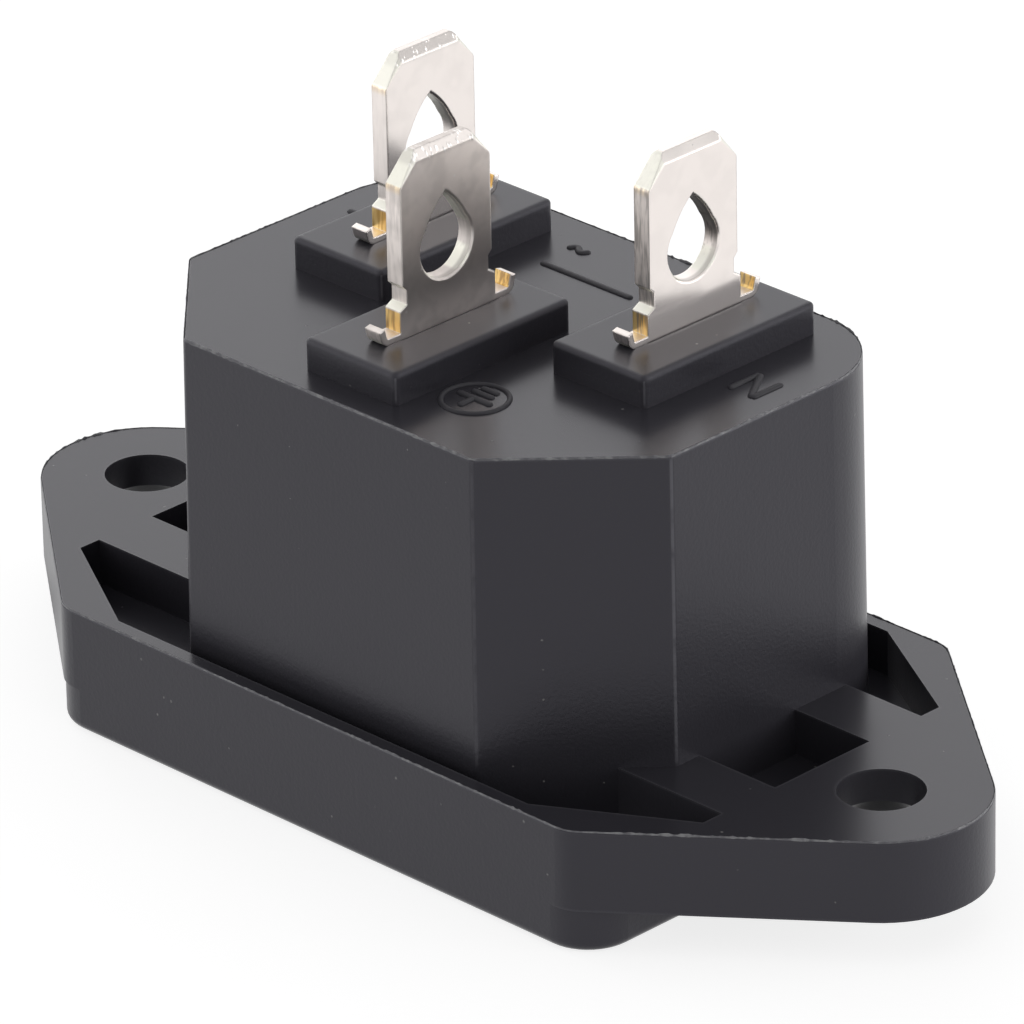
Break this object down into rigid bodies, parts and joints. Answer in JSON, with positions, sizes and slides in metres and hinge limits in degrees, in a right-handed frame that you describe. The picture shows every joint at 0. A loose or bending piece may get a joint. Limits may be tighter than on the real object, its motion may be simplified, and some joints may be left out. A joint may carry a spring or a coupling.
{
  "type": "panel power inlet socket",
  "caption": "Flanged panel inlet socket for an appliance plug: black moulded housing with tapered screw ears, a chamfered plug recess with blade pins, and plated solder tabs behind.",
  "frame": {"origin": "middle of the front face of the bezel, which is the bottom of the part as stored", "axes": "+Z from the front face to the tabs behind, +X along the line through the screw holes towards the neutral contact, -Y towards the earth contact and the chamfered body corners"},
  "size_m": [0.0486, 0.0208, 0.0266],
  "materials": {
    "housing": "satin black moulded plastic",
    "contact": "nickel-plated brass, bare where the edges were sheared"
  },
  "bodies": {
    "root": {"housing": "housing", "line_contact": "contact", "neutral_contact": "contact", "earth_contact": "contact"}
  },
  "joints": []
}
